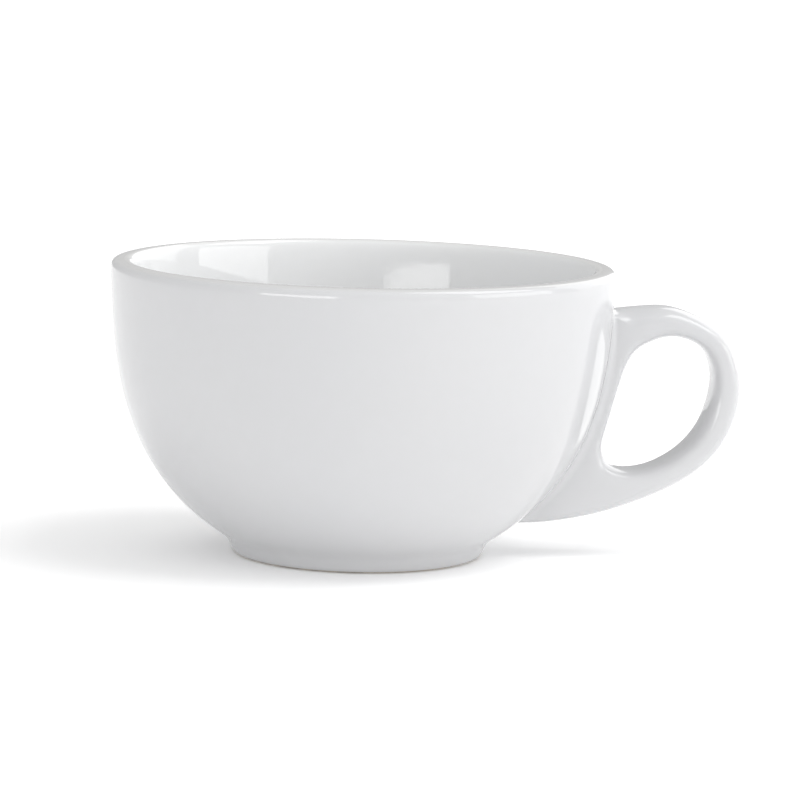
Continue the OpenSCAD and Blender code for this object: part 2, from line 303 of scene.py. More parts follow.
def inside_curves(bowl, crest):
    """The floor and inside wall, and the rounding from the wall up to the crest."""
    floor = np.array([0, bowl.floor_z])
    lip = np.array([bowl.mouth_d / 2 - bowl.lip_w, bowl.height - bowl.lip_inner_drop])
    up = leaning(bowl.inside_lean)
    pull = (lip[1] - bowl.floor_z) * INSIDE_PULL_SHARE
    wall = cubic(floor, floor + [lip[0] * FLOOR_PULL_SHARE, 0], lip - pull * up, lip)
    rounding = cubic(lip, lip + bowl.lip_inner_drop * LIP_INSIDE_PULL_SHARE * up,
                     crest - [(crest[0] - lip[0]) * LIP_INSIDE_PULL_SHARE, 0], crest)
    return wall, rounding


def outside_curves(bowl, crest, shoulder, neck):
    """The rounding outside the crest, and the wall and underside down to the neck."""
    rounding = cubic(crest, crest + [bowl.lip_crest_w * LIP_OUTSIDE_PULL_SHARE, 0],
                     shoulder + [0, bowl.lip_drop], shoulder)
    wall_pull = (shoulder[1] - neck[1]) * WALL_PULL_SHARE
    under_pull = (shoulder[0] - neck[0]) * UNDERSIDE_PULL_SHARE
    under = np.array([math.cos(bowl.underside_rise), math.sin(bowl.underside_rise)])
    wall = cubic(shoulder, shoulder - wall_pull * leaning(bowl.wall_lean), neck + under_pull * under, neck)
    return rounding, wall


def foot_curves(foot, neck):
    """The sweep from the neck to the foot, and the upper half of the foot's outside, where the
    bead of glaze ends."""
    foot_r = foot.foot_d / 2
    corner = np.array([foot_r + foot.neck_sweep * NECK_CORNER_SHARES[0],
                       foot.foot_h + foot.neck_rise * NECK_CORNER_SHARES[1]])
    sweep = quadratic(neck, corner, np.array([foot_r, foot.foot_h]))
    top, low = (np.array([foot_r - foot.taper * drawn, foot.foot_h * up])
                for drawn, up in (FOOT_TOP_SHARES, FOOT_CORNER_SHARES))
    side = quadratic(top, low, np.array([foot_r - foot.taper, 0]))
    return sweep, side[:len(side) // 2]


def glazed_profile(bowl, foot):
    """The glazed profile as radius and height, from the middle of the floor to the bead of
    glaze on the foot, and the number of the point at the crest of the lip."""
    mouth_r = bowl.mouth_d / 2
    crest = np.array([mouth_r - bowl.lip_crest_w, bowl.height])
    shoulder = np.array([mouth_r, bowl.height - bowl.lip_drop])
    neck = np.array([foot.foot_d / 2 + foot.neck_sweep, foot.foot_h + foot.neck_rise])
    inside, inside_round = inside_curves(bowl, crest)
    outside_round, outside = outside_curves(bowl, crest, shoulder, neck)
    sweep, side = foot_curves(foot, neck)
    line = np.concatenate([inside, inside_round[1:], outside_round[1:], outside[1:], sweep[1:], side])
    easier = softened(line, foot.neck_ease, mirror_start=True)
    line = softened(line, PROFILE_EASE, mirror_start=True)
    outer_side = np.arange(len(line)) > np.argmax(line[:, 1])
    near_neck = np.exp(-((line[:, 1] - neck[1]) / NECK_REACH) ** 2)
    near_shoulder = np.exp(-((line[:, 1] - shoulder[1]) / SHOULDER_REACH) ** 2)
    eased = outer_side * (near_neck + SHOULDER_EASE_SHARE * near_shoulder)
    line = line + (easier - line) * eased[:, None]
    line[0, 0] = 0
    return line, int(np.argmax(line[:, 1]))


def coat_mesh(name, line, thickness, steps, bead=False):
    """A coat of glaze under the line. It is cut square where it ends, or rounded into a bead."""
    face = thinned(line, COAT_STEP, COAT_TURN)
    normal = turned_left(np.gradient(face, axis=0))
    depth = np.full(len(face), thickness)
    if bead:
        s = lengths_along(face)
        left = np.clip((s[-1] - s) / thickness, 0, 1)
        depth = thickness * np.sqrt(np.clip(1 - (1 - left) ** 2, BEAD_TIP_SHARE ** 2, 1))
    back = face - normal * depth[:, None]
    back[:, 0] = np.maximum(back[:, 0], 0)
    section = np.concatenate([face, back[::-1]])
    return turned(name, section, np.concatenate([normal, -normal[::-1]]), steps)


def recess_points(foot):
    """Inner radius of the tread, and the points where the recess turns above the tread and
    where it meets the underside of the bowl."""
    tread_in = foot.foot_d / 2 - foot.taper - foot.tread_w
    drawn, up = RECESS_TURN_SHARES
    turn = np.array([tread_in - foot.recess_draw * drawn, foot.foot_h * up])
    return tread_in, turn, np.array([tread_in - foot.recess_draw, foot.foot_h])


def foot_mesh(name, bowl, foot, steps):
    """The foot ring: its outside under the glaze, its flat tread with two ground edges, and
    its inside."""
    line, crest = glazed_profile(bowl, foot)
    bare = (line - turned_left(np.gradient(line, axis=0)) * bowl.glaze_t)[crest:]
    outside = bare[bare[:, 1] < foot.foot_h]
    tread_in, turn, corner = recess_points(foot)
    tread_out, edge = foot.foot_d / 2 - foot.taper, foot.tread_edge_r
    edge_out = quadratic(outside[-1], np.array([tread_out, 0]), np.array([tread_out - edge, 0]),
                         EDGE_OUT_STEPS)
    inner = np.array([tread_in, 0])
    up = (turn - inner) / np.linalg.norm(turn - inner)
    edge_in = quadratic(np.array([tread_in + edge, 0]), inner, inner + up * edge, EDGE_IN_STEPS)
    top = np.array([outside[0, 0], foot.foot_h])
    section = np.concatenate([
        [top], thinned(outside, FOOT_STEP, FOOT_TURN), edge_out[1:], edge_in, [turn], [corner]])
    facing = turned_left(np.roll(section, -1, 0) - np.roll(section, 1, 0))
    piece = turned(name, section, facing, steps)
    piece.data.set_sharp_from_angle(angle=math.radians(SHARP_DEGREES))
    return piece


def recess_coat_mesh(name, bowl, foot, steps):
    """The coat in the recess, from just above the tread to the axis, where it is deepest."""
    _, turn, corner = recess_points(foot)
    t = bowl.glaze_t
    line = np.array([turn - [t, 0], corner - [t, t], corner - [foot.recess_dish, t * RECESS_CORNER_COATS],
                     [0, foot.foot_h - t * RECESS_MIDDLE_COATS]])
    line = softened(line, RECESS_EASE)
    line[-1, 0] = 0
    face = thinned(line, RECESS_STEP, RECESS_TURN)
    section = np.concatenate([face, [[0, foot.foot_h], corner, turn]])
    facing = np.concatenate([turned_left(np.gradient(face, axis=0)), [[0, 1], RECESS_CORNER_FACING, [1, 0]]])
    return turned(name, section, facing, steps)


# The handle

# The opening and the outer edge at matching keys, anticlockwise from the outermost point: the
# first share is the way out from the wall, the second the way up
OPENING_SHARES = np.array([
    (1, 0.643), (0.952, 0.825), (0.798, 0.946), (0.527, 1), (0.3, 0.969), (0.15, 0.913),
    (0.068, 0.846), (0.02, 0.75), (0, 0.64), (-0.01, 0.49), (0.007, 0.314), (0.04, 0.193),
    (0.108, 0.1), (0.17, 0.05), (0.26, 0.014), (0.362, 0), (0.51, 0.025), (0.665, 0.104),
    (0.804, 0.221), (0.926, 0.396)])
OUTLINE_SHARES = np.array([
    (1, 0.616), (0.947, 0.792), (0.795, 0.909), (0.504, 0.991), (0.26, 1), (0.08, 0.989),
    (0, 0.98), (0, 0.871), (0, 0.723), (0, 0.564), (0, 0.394), (0, 0.252),
    (0, 0.116), (0, 0.01), (0.095, 0), (0.291, 0.033), (0.474, 0.096), (0.657, 0.182),
    (0.814, 0.286), (0.939, 0.431)])
# The keys between which the outer edge lies on the wall
KEYS, TOP_KEY, LOW_KEY = len(OPENING_SHARES), 6, 13
# Sections from key to key, and from key to key near the two ends of the root
SECTIONS, ROOT_SECTIONS = 12, 36
ROOT_KEYS = ((5.5, 7.0), (12.4, 13.6))
# Points round half a section: the rounding at the opening, the flank and the outer rounding
ROUND, FLANK, BACK = 14, 26, 16
HALF = ROUND + FLANK + BACK
RING = 2 * HALF
# Fullness of the two roundings of the strap: nought would be a box, and one an ellipse
INNER_FULL, OUTER_FULL = 0.6, 0.9
# No rounding takes more than this share of the strap
INNER_ROUND_SHARE, OUTER_ROUND_SHARE = 0.5, 0.45
# Keys over which the tip's rounding, the end's fillet and the closer points on the flank run out
TIP_KEYS, FILLET_KEYS, SEAT_KEYS = 1.2, 1.6, 1.5
# Slope of the strap's top and of its underside where they run into the wall, and the least
# slant at which a section can meet them
TOP_SLOPE, LOW_SLOPE, LEAST_SLANT = 0.18, -0.22, 1e-3
# No section is longer than this
LONGEST = 40 * MM
# Height to each side over which the slope of the wall is measured
WALL_STEP = 0.3 * MM
# How far under the glazed wall the coat's edge is set
SUNK = 0.005 * MM
# Distance from the wall within which the coat's shading turns to the wall's own
BLEND = 0.15 * MM
# How often the search for the place where the flank meets the wall halves its range, and how
# often a point on the fillet is set back to its distance from the wall
HALVINGS, SETTLINGS = 40, 3
TINY = 1e-12


def spline(values, at, closed):
    """A smooth curve through the values, which stand at 0, 1, 2 and so on."""
    n = len(values)
    system, right = np.zeros((n, n)), np.zeros((n,) + values.shape[1:])
    for i in range(n):
        if closed or 0 < i < n - 1:
            before, after = (i - 1) % n, (i + 1) % n
            system[i, before] += 1
            system[i, i] += 4
            system[i, after] += 1
            right[i] = 6 * (values[after] - 2 * values[i] + values[before])
        else:
            system[i, i] = 1
    bend = np.linalg.solve(system, right)
    i = np.floor(at).astype(int)
    i = i % n if closed else np.clip(i, 0, n - 2)
    t = (at % n if closed else at) - i
    j = (i + 1) % n
    if values.ndim == 2:
        t = t[:, None]
    u = 1 - t
    return u * values[i] + t * values[j] + ((u ** 3 - u) * bend[i] + (t ** 3 - t) * bend[j]) / 6


def smooth(k):
    k = np.clip(k, 0, 1)
    return k * k * (3 - 2 * k)


class HandleSkin:
    """The surface of the handle as a grid of rings, each from the opening round the strap and
    back, drawn in by a depth that is nought for the glazed surface."""

    def __init__(self, sizes, wall_line):
        self.s = sizes
        order = np.argsort(wall_line[:, 1])
        self.wall_z, self.wall_radius = wall_line[order, 1], wall_line[order, 0]
        keys = [np.arange(0, KEYS, 1 / SECTIONS)]
        keys += [np.arange(first, last, 1 / ROOT_SECTIONS) for first, last in ROOT_KEYS]
        self.u = np.unique(np.round(np.concatenate(keys), 4))
        self.seated = (self.u > TOP_KEY) & (self.u < LOW_KEY)

    def wall(self, z):
        return np.interp(z, self.wall_z, self.wall_radius)

    def wall_slope(self, z):
        return (self.wall(z + WALL_STEP) - self.wall(z - WALL_STEP)) / (2 * WALL_STEP)

    def clear(self, x, y, z):
        """Distance of a point from the glazed wall."""
        return (np.hypot(x, y) - self.wall(z)) / np.sqrt(1 + self.wall_slope(z) ** 2)

    def wall_normal(self, points):
        x, y, z = points[..., 0], points[..., 1], points[..., 2]
        r = np.hypot(x, y)
        n = np.stack([x / r, y / r, -self.wall_slope(z)], -1)
        return n / np.linalg.norm(n, axis=-1)[..., None]

    def lines(self):
        """The opening and the outer edge at every section."""
        s, u = self.s, self.u
        p = spline(OPENING_SHARES, u, True)
        z = s.opening_low_z + (s.top_z - s.strap_top_t - s.opening_low_z) * p[:, 1]
        near = self.wall(z) + s.web_w
        inner = np.stack([near + (s.out_x - s.strap_t - near) * p[:, 0], z], 1)
        # The free part of the outer edge runs from the low end of the root round to its top
        free = np.where(u <= TOP_KEY, u + KEYS, u)
        shares = np.roll(OUTLINE_SHARES, -LOW_KEY, axis=0)[:KEYS - LOW_KEY + TOP_KEY + 1]
        q = spline(shares, np.clip(free - LOW_KEY, 0, None), False)
        z = s.low_z + (s.top_z - s.low_z) * q[:, 1]
        near = self.wall(z)
        outer = np.stack([near + (s.out_x - near) * np.maximum(q[:, 0], 0), z], 1)
        up = spline(OUTLINE_SHARES[TOP_KEY:LOW_KEY + 1, 1], np.clip(u - TOP_KEY, 0, LOW_KEY - TOP_KEY), False)
        z = s.low_z + (s.top_z - s.low_z) * up
        outer[self.seated] = np.stack([self.wall(z), z], 1)[self.seated]
        return inner, outer

    def full_lengths(self, inner, outer, way, span):
        """Length of each section. A seated one is drawn on into the wall, as far as the line of
        the strap's own top or underside."""
        full = span.copy()
        ends = [(outer[np.argmin(abs(self.u - key))], slope, math.copysign(1, slope))
                for key, slope in ((TOP_KEY, TOP_SLOPE), (LOW_KEY, LOW_SLOPE))]
        for k in np.flatnonzero(self.seated):
            found = [LONGEST]
            for point, slope, side in ends:
                slant = way[k, 1] - slope * way[k, 0]
                if slant * side > LEAST_SLANT:
                    found.append((point[1] - inner[k, 1] - slope * (point[0] - inner[k, 0])) / slant)
            full[k] = min(max(min(found), span[k]), LONGEST)
        return full

    def radii(self, span, depth):
        """Depths of the two roundings of the strap, and radius of the fillet, at every section."""
        s = self.s
        to_top, to_low = abs(self.u - TOP_KEY), abs(self.u - LOW_KEY)
        to_end = np.minimum(to_top, to_low)
        inner_r = np.minimum(s.inner_round, INNER_ROUND_SHARE * span) - depth
        outer_r = s.tip_round + (s.outer_round - s.tip_round) * smooth(to_end / TIP_KEYS)
        outer_r = np.minimum(outer_r, OUTER_ROUND_SHARE * span) - depth
        end_r = np.where(to_top < to_low, s.top_fillet_r, s.low_fillet_r)
        fillet = end_r + (s.fillet_r - end_r) * smooth(to_end / FILLET_KEYS)
        return inner_r, outer_r, np.where(self.seated, fillet, end_r) + depth

    def half_width(self, place, depth):
        near = self.wall(place[:, 1])
        out = np.clip((place[:, 0] - near) / (self.s.out_x - near), 0, 1)
        return (self.s.root_w + (self.s.strap_w - self.s.root_w) * out) / 2 - depth

    def section_point(self, j, inner_r, flank_end, last):
        """Point j of every section: how far along it stands, its share of the half width, and
        which way the surface faces there, along the section and across it."""
        if j <= ROUND:
            turn = math.radians(90 * j / ROUND)
            along = inner_r * (1 - max(0.0, math.cos(turn)) ** INNER_FULL)
            return along, math.sin(turn) ** INNER_FULL, -math.cos(turn), math.sin(turn)
        if j <= ROUND + FLANK:
            k = (j - ROUND) / FLANK
            past = np.maximum(0, np.maximum(TOP_KEY - self.u, self.u - LOW_KEY))
            k = k + (1 - (1 - k) ** 2 - k) * smooth(1 - past / SEAT_KEYS)
            return inner_r + (flank_end - inner_r) * k, 1.0, 0.0, 1.0
        turn = math.radians(90 * (j - ROUND - FLANK) / BACK)
        along = flank_end + (last - flank_end) * math.sin(turn) ** OUTER_FULL
        return along, max(0.0, math.cos(turn)) ** OUTER_FULL, math.sin(turn), math.cos(turn)

    def filleted(self, place, y, out, across, gap, fillet, sunk):
        """The points, moved outward where they come near the wall by the width of the fillet at
        their distance from it."""
        near = (fillet - np.maximum(gap, 0)) ** 2
        more = np.where(gap < fillet, fillet - np.sqrt(np.maximum(fillet ** 2 - near, 0)), 0)
        moved = place + out * more[:, None]
        x, y, z = moved[:, 0], y + across * more, moved[:, 1]
        # Spreading along a round wall changes the gap, so the point is set back to its own
        for _ in range(SETTLINGS):
            error = self.clear(x, y, z) - sunk - np.maximum(gap, 0)
            x = np.where(more > 0, x - error, x)
        return np.stack([x, y, z], 1)

    def cut_at_wall(self, grid, gap, meets, sunk):
        """Ends each seated ring just under the glazed wall, with the points past its edge set
        on the edge, and gives the number of each ring's edge point."""
        edge = np.full(len(self.u), HALF + 1)
        first = ROUND + FLANK
        for k in np.flatnonzero(self.seated):
            inside = [0] if meets[k] else np.flatnonzero(gap[k, first:] <= 0)
            edge[k] = j = first + (inside[0] if len(inside) else BACK)
            if len(inside) and inside[0] > 0:
                f = gap[k, j - 1] / (gap[k, j - 1] - gap[k, j] + TINY)
                grid[k, j] = grid[k, j - 1] * (1 - f) + grid[k, j] * f
            grid[k, j, 0] -= self.clear(*grid[k, j]) - sunk
            grid[k, j:HALF + 1] = grid[k, j]
        return edge

    def grid(self, depth):
        """The rings at that depth, and the number of each ring's edge point."""
        inner, outer = self.lines()
        span = np.linalg.norm(outer - inner, axis=1)
        way = (outer - inner) / span[:, None]
        start = inner + way * depth
        last = self.full_lengths(inner, outer, way, span) - 2 * depth
        inner_r, outer_r, fillet = self.radii(span, depth)
        sunk = -SUNK - depth

        def room(along, share_of_width=1.0):
            place = start + way * along[:, None]
            y = self.half_width(place, depth) * share_of_width
            return place, y, self.clear(place[:, 0], y, place[:, 1]) - sunk

        # Where the flank meets the wall, or would turn into the outer rounding
        flank_end = last - outer_r
        meets = self.seated & (room(flank_end)[2] < 0)
        clear, past = inner_r, flank_end
        for _ in range(HALVINGS):
            middle = (clear + past) / 2
            outside = room(middle)[2] > 0
            clear, past = np.where(outside, middle, clear), np.where(outside, past, middle)
        flank_end = np.where(meets, clear, flank_end)
        rings, gaps = [], []
        for j in range(HALF + 1):
            along, width, out, across = self.section_point(j, inner_r, flank_end, last)
            place, y, gap = room(along, width)
            rings.append(self.filleted(place, y, way * max(0.0, out), across, gap, fillet, sunk))
            gaps.append(gap)
        grid = np.stack(rings, 1)
        edge = self.cut_at_wall(grid, np.stack(gaps, 1), meets, sunk)
        return np.concatenate([grid, grid[:, HALF - 1:0:-1] * [1, -1, 1]], 1), edge

    def facing(self, grid):
        """Smooth normals of the grid, turned to the wall's own where the fillet runs out on it."""
        along = np.roll(grid, -1, 0) - np.roll(grid, 1, 0)
        around = np.roll(grid, -1, 1) - np.roll(grid, 1, 1)
        n = np.cross(along, around)
        n /= np.maximum(np.linalg.norm(n, axis=2), TINY)[..., None]
        away = self.clear(grid[..., 0], grid[..., 1], grid[..., 2])
        n += (self.wall_normal(grid) - n) * smooth(1 - away / BLEND)[..., None]
        return n / np.maximum(np.linalg.norm(n, axis=2), TINY)[..., None]


def handle_coat_mesh(name, sizes, wall_line, thickness):
    """The coat of the handle as a closed shell: its face, its back, and a rim round its seat on
    the wall, where there is no coat."""
    skin = HandleSkin(sizes, wall_line)
    face, edge = skin.grid(0.0)
    back, _ = skin.grid(thickness)
    n = len(skin.u)

    def on_seat(k, j):
        return edge[k] <= min(j, RING - j)

    def number(k, j):
        k, j = k % n, j % RING
        if on_seat(k, j):
            j = edge[k] if j <= HALF else RING - edge[k]
        return k * RING + j

    # Where a ring ends, its neighbour's points fan out from its edge
    quads = []
    for k in range(n):
        for j in range(RING):
            corners = (k, j), (k + 1, j), (k + 1, j + 1), (k, j + 1)
            if all(on_seat(a % n, b % RING) for a, b in corners):
                continue
            quad = tuple(dict.fromkeys(number(a, b) for a, b in corners))
            if len(quad) > 2:
                quads.append(quad)
    edges = dict.fromkeys(pair for q in quads for pair in zip(q, q[1:] + q[:1]))
    base = n * RING
    rim = [(b, a, a + base, b + base) for a, b in edges if (b, a) not in edges]
    faces = quads + [tuple(v + base for v in reversed(q)) for q in quads] + rim
    used = np.zeros(2 * base, bool)
    for f in faces:
        used[list(f)] = True
    renumber = np.cumsum(used) - 1
    points = np.concatenate([face.reshape(-1, 3), back.reshape(-1, 3)])[used]
    facing = np.concatenate([skin.facing(face).reshape(-1, 3), -skin.facing(back).reshape(-1, 3)])[used]
    faces = [tuple(int(renumber[v]) for v in f) for f in faces]
    return named_mesh(name, points, faces, facing)


# Materials

# The two colour inputs of a Mix node and its colour output
MIX_ONE, MIX_TWO, MIX_RESULT = 6, 7, 2
# Between these values most of a noise lies
NOISE_LOW, NOISE_HIGH = 0.3, 0.7
# Tints that a finish is shifted by, from its darker to its lighter clouds
GLAZE_CLOUDS = ((0.985, 0.988, 0.992), (1.01, 1.008, 1.004))
GLAZE_MOTTLE, MOTTLE_SHARE = (0.985, 0.985, 0.98), 0.35
CLAY_CLOUDS = ((0.93, 0.92, 0.9), (1.06, 1.05, 1.04))
CLAY_GRAIN, GRAIN_SHARE = (0.84, 0.82, 0.8), 0.5
RUBBED_GREY, RUBBED_HEIGHT = (0.55, 0.55, 0.56), 0.35 * MM
FLOOR_CLOUD = (0.995, 0.995, 0.995)
# How much of the thin glaze and of a speck shows
THIN_SHARE, SPECK_SHARE = 0.7, 0.45
# How far the gloss varies over the glaze, as shares of its own roughness
GLOSS_SHARES = (0.7, 1.5)
GLAZE_IOR = 1.52
CLAY_ROUGHNESS = (0.62, 0.85)
FLOOR_ROUGHNESS, FLOOR_SPECULAR = 0.9, 0.1
# Heights between which a coat grows thin: at the top of the lip, and for the recess under the
# table, which makes it thin all over
LIP_THIN, RECESS_THIN = (60.4 * MM, 61 * MM), (-2 * MM, -1 * MM)


class Recipe:
    """A material being written. Each layer is handed on as the socket that it comes out of."""

    def __init__(self, name):
        self.material = bpy.data.materials.get(name) or bpy.data.materials.new(name)
        self.material.use_nodes = True
        self.tree = self.material.node_tree
        self.tree.nodes.clear()
        out = self.node("ShaderNodeOutputMaterial")
        self.shader = self.node("ShaderNodeBsdfPrincipled")
        self.link(self.shader.outputs["BSDF"], out.inputs["Surface"])
        self.place = self.node("ShaderNodeTexCoord").outputs["Object"]

    def node(self, kind, **settings):
        made = self.tree.nodes.new(kind)
        for key, value in settings.items():
            setattr(made, key, value)
        return made

    def link(self, source, target):
        self.tree.links.new(source, target)

    def feed(self, term, target):
        """Gives an input a layer to follow, or a number or colour to keep."""
        if isinstance(term, bpy.types.NodeSocket):
            self.link(term, target)
        else:
            target.default_value = (*term, 1) if isinstance(term, tuple) else term

    def noise(self, scale, detail=2.0, rough=0.5):
        made = self.node("ShaderNodeTexNoise")
        made.inputs["Scale"].default_value = scale
        made.inputs["Detail"].default_value = detail
        made.inputs["Roughness"].default_value = rough
        self.link(self.place, made.inputs["Vector"])
        return made.outputs[0]

    def height(self):
        made = self.node("ShaderNodeSeparateXYZ")
        self.link(self.place, made.inputs["Vector"])
        return made.outputs["Z"]

    def span(self, source, low=NOISE_LOW, high=NOISE_HIGH, to_low=0.0, to_high=1.0):
        made = self.node("ShaderNodeMapRange", clamp=True)
        for socket, value in (("From Min", low), ("From Max", high), ("To Min", to_low), ("To Max", to_high)):
            made.inputs[socket].default_value = value
        self.link(source, made.inputs["Value"])
        return made.outputs[0]

    def times(self, one, two):
        made = self.node("ShaderNodeMath", operation="MULTIPLY")
        self.feed(one, made.inputs[0])
        self.feed(two, made.inputs[1])
        return made.outputs[0]

    def mix(self, factor, one, two):
        """A mix of two colours, each a colour or a layer."""
        made = self.node("ShaderNodeMix", data_type="RGBA")
        self.link(factor, made.inputs[0])
        self.feed(one, made.inputs[MIX_ONE])
        self.feed(two, made.inputs[MIX_TWO])
        return made.outputs[MIX_RESULT]

    def clouded(self, base, tints, **pattern):
        return self.mix(self.span(self.noise(**pattern)), tint(base, tints[0]), tint(base, tints[1]))

    def dots(self, scale, channel, rarity, core, rim, level):
        """Small round dots of that level in the few cells whose random channel passes rarity,
        full inside the core and fading to the rim."""
        cells = self.node("ShaderNodeTexVoronoi")
        cells.inputs["Scale"].default_value = scale
        self.link(self.place, cells.inputs["Vector"])
        parts = self.node("ShaderNodeSeparateColor")
        self.link(cells.outputs["Color"], parts.inputs["Color"])
        chosen = self.span(parts.outputs[channel], *rarity)
        return self.times(chosen, self.span(cells.outputs["Distance"], core, rim, level, 0.0))

    def bump(self, source, height, before=None):
        made = self.node("ShaderNodeBump")
        made.inputs["Strength"].default_value = 1.0
        made.inputs["Distance"].default_value = height
        self.link(source, made.inputs["Height"])
        if before is not None:
            self.link(before, made.inputs["Normal"])
        return made.outputs["Normal"]

    def finish(self, tone, **sockets):
        """Sets the colour and the named inputs of the shader, and gives the material."""
        self.feed(tone, self.shader.inputs["Base Color"])
        for socket, term in sockets.items():
            self.feed(term, self.shader.inputs[socket])
        return self.material


def tint(base, change):
    return tuple(min(1.0, c * k) for c, k in zip(base, change))


def glaze_material(name, finish, base, thin_heights=None):
    """Glossy white glaze: faint clouds of tone, thinner and warmer between two heights, rare
    specks and pinholes, slow ripples from the firing and the fine dimpling of the surface."""
    r = Recipe(name)
    base = tuple(base)
    tone = r.clouded(base, GLAZE_CLOUDS, scale=22, detail=3.0)
    mottle = r.span(r.noise(scale=420), low=0.35, high=0.65, to_high=MOTTLE_SHARE)
    tone = r.mix(mottle, tone, tint(base, GLAZE_MOTTLE))
    if thin_heights:
        thin = r.span(r.height(), *thin_heights, to_high=THIN_SHARE)
        tone = r.mix(thin, tone, tuple(finish.glaze_thin))
    speck = r.dots(scale=210, channel="Red", rarity=(0.985, 0.99), core=0.03, rim=0.06, level=1.0)
    tone = r.mix(r.times(speck, SPECK_SHARE), tone, tuple(finish.speck))
    least, most = (finish.gloss * k for k in GLOSS_SHARES)
    gloss = r.span(r.noise(scale=60, detail=3.0), to_low=least, to_high=most)
    slow = r.bump(r.noise(scale=34, detail=1.0), finish.ripple)
    peel = r.bump(r.noise(scale=520, detail=1.0), finish.peel, slow)
    pit = r.dots(scale=330, channel="Green", rarity=(0.98, 0.985), core=0.02, rim=0.07, level=-1.0)
    pinholed = r.bump(pit, finish.pinhole, peel)
    return r.finish(tone, Roughness=gloss, IOR=GLAZE_IOR, Normal=pinholed)


def clay_material(name, finish, rubbed=False):
    """Bare fired porcelain: matt, fine grained, and rubbed grey where it stands on its foot."""
    r = Recipe(name)
    base = tuple(finish.clay)
    tone = r.clouded(base, CLAY_CLOUDS, scale=70, detail=4.0)
    tone = r.mix(r.span(r.noise(scale=2600), to_high=GRAIN_SHARE), tone, tint(base, CLAY_GRAIN))
    if rubbed:
        low = r.span(r.height(), 0.0, RUBBED_HEIGHT, 1.0, 0.0)
        patch = r.span(r.noise(scale=330, detail=4.0, rough=0.6), low=0.46, high=0.62)
        tone = r.mix(r.times(low, patch), tone, tint(base, RUBBED_GREY))
    least, most = CLAY_ROUGHNESS
    matt = r.span(r.noise(scale=900), to_low=least, to_high=most)
    return r.finish(tone, Roughness=matt, Normal=r.bump(r.noise(scale=3400), finish.grain))


def floor_material(name, studio):
    r = Recipe(name)
    base = tuple(studio.floor)
    tone = r.mix(r.span(r.noise(scale=3)), tint(base, FLOOR_CLOUD), base)
    return r.finish(tone, **{
        "Roughness": FLOOR_ROUGHNESS, "Specular IOR Level": FLOOR_SPECULAR,
        "Emission Color": base, "Emission Strength": studio.floor_glow})


def dress(piece, material):
    piece.data.materials.clear()
    piece.data.materials.append(material)


# Operators

class CUP_OT_clay(Operator):
    """Gives the bare porcelain and its joint their matt fired finish"""
    bl_idname = "cup.clay"
    bl_label = "Finish the clay"

    def execute(self, context):
        for node in ("bowl", "handle", "handle_slip"):
            dress(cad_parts[node], clay_material("clay_" + node, context.scene.cup_finish))
        return {"FINISHED"}


class CUP_OT_foot(Operator):
    """Makes the foot ring with its ground tread"""
    bl_idname = "cup.foot"
    bl_label = "Grind the foot ring"

    def execute(self, context):
        scene = context.scene
        piece = foot_mesh("foot_ring_ground", scene.cup_bowl, scene.cup_foot, scene.cup_studio.steps)
        dress(piece, clay_material("clay_foot", scene.cup_finish, rubbed=True))
        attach(piece, "root")
        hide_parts("foot_ring")
        return {"FINISHED"}


class CUP_OT_inner_coat(Operator):
    """Lays the glaze over the inside of the bowl, up to the crest of the lip"""
    bl_idname = "cup.inner_coat"
    bl_label = "Glaze the inside"

    def execute(self, context):
        scene, finish = context.scene, context.scene.cup_finish
        line, crest = glazed_profile(scene.cup_bowl, scene.cup_foot)
        piece = coat_mesh("inner_glaze_coat", line[:crest + 1], scene.cup_bowl.glaze_t,
                          scene.cup_studio.steps)
        # The inside coat takes the inside glaze, painted lighter than the outside glaze as painted light for
        # the brighter inside of the bowl.
        dress(piece, glaze_material("glaze_inside", finish, finish.glaze_in_painted_lighter, LIP_THIN))
        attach(piece, "root")
        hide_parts("inner_glaze")
        return {"FINISHED"}


class CUP_OT_outer_coat(Operator):
    """Lays the glaze over the outside, from the crest of the lip to a bead on the foot"""
    bl_idname = "cup.outer_coat"
    bl_label = "Glaze the outside"

    def execute(self, context):
        scene, finish = context.scene, context.scene.cup_finish
        line, crest = glazed_profile(scene.cup_bowl, scene.cup_foot)
        piece = coat_mesh("outer_glaze_coat", line[crest:], scene.cup_bowl.glaze_t,
                          scene.cup_studio.steps, bead=True)
        dress(piece, glaze_material("glaze_outside", finish, finish.glaze, LIP_THIN))
        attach(piece, "root")
        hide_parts("outer_glaze")
        return {"FINISHED"}


class CUP_OT_base_coat(Operator):
    """Lays the glaze in the recess under the cup, short of the bare tread"""
    bl_idname = "cup.base_coat"
    bl_label = "Glaze the recess"

    def execute(self, context):
        scene, finish = context.scene, context.scene.cup_finish
        piece = recess_coat_mesh("base_glaze_coat", scene.cup_bowl, scene.cup_foot,
                                 scene.cup_studio.steps // 2)
        dress(piece, glaze_material("glaze_base", finish, finish.glaze, RECESS_THIN))
        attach(piece, "root")
        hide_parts("base_glaze")
        return {"FINISHED"}


class CUP_OT_handle_coat(Operator):
    """Lays the glaze over the handle, running into the wall in a fillet"""
    bl_idname = "cup.handle_coat"
    bl_label = "Glaze the handle"

    def execute(self, context):
        scene, finish = context.scene, context.scene.cup_finish
        line, crest = glazed_profile(scene.cup_bowl, scene.cup_foot)
        piece = handle_coat_mesh("handle_glaze_coat", scene.cup_handle, line[crest:], scene.cup_bowl.glaze_t)
        dress(piece, glaze_material("glaze_handle", finish, finish.glaze))
        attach(piece, "root")
        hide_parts("handle_glaze")
        return {"FINISHED"}


# Where the camera of the photograph stood, in degrees and metres: the handle is turned a little
# away from it, and it looks down and leans a little to one side
TURN, RISE, DISTANCE, AIM_Z = 5.0, 8.013, 0.8031, 0.0305
YAW, PITCH, ROLL = 0.597, 7.886, 1.441
SENSOR_MM, CLIP_NEAR, CLIP_FAR = 36, 0.01, 50
# The camera's bearing from the cup before that turn, in degrees from +X
CAMERA_BEARING = -90
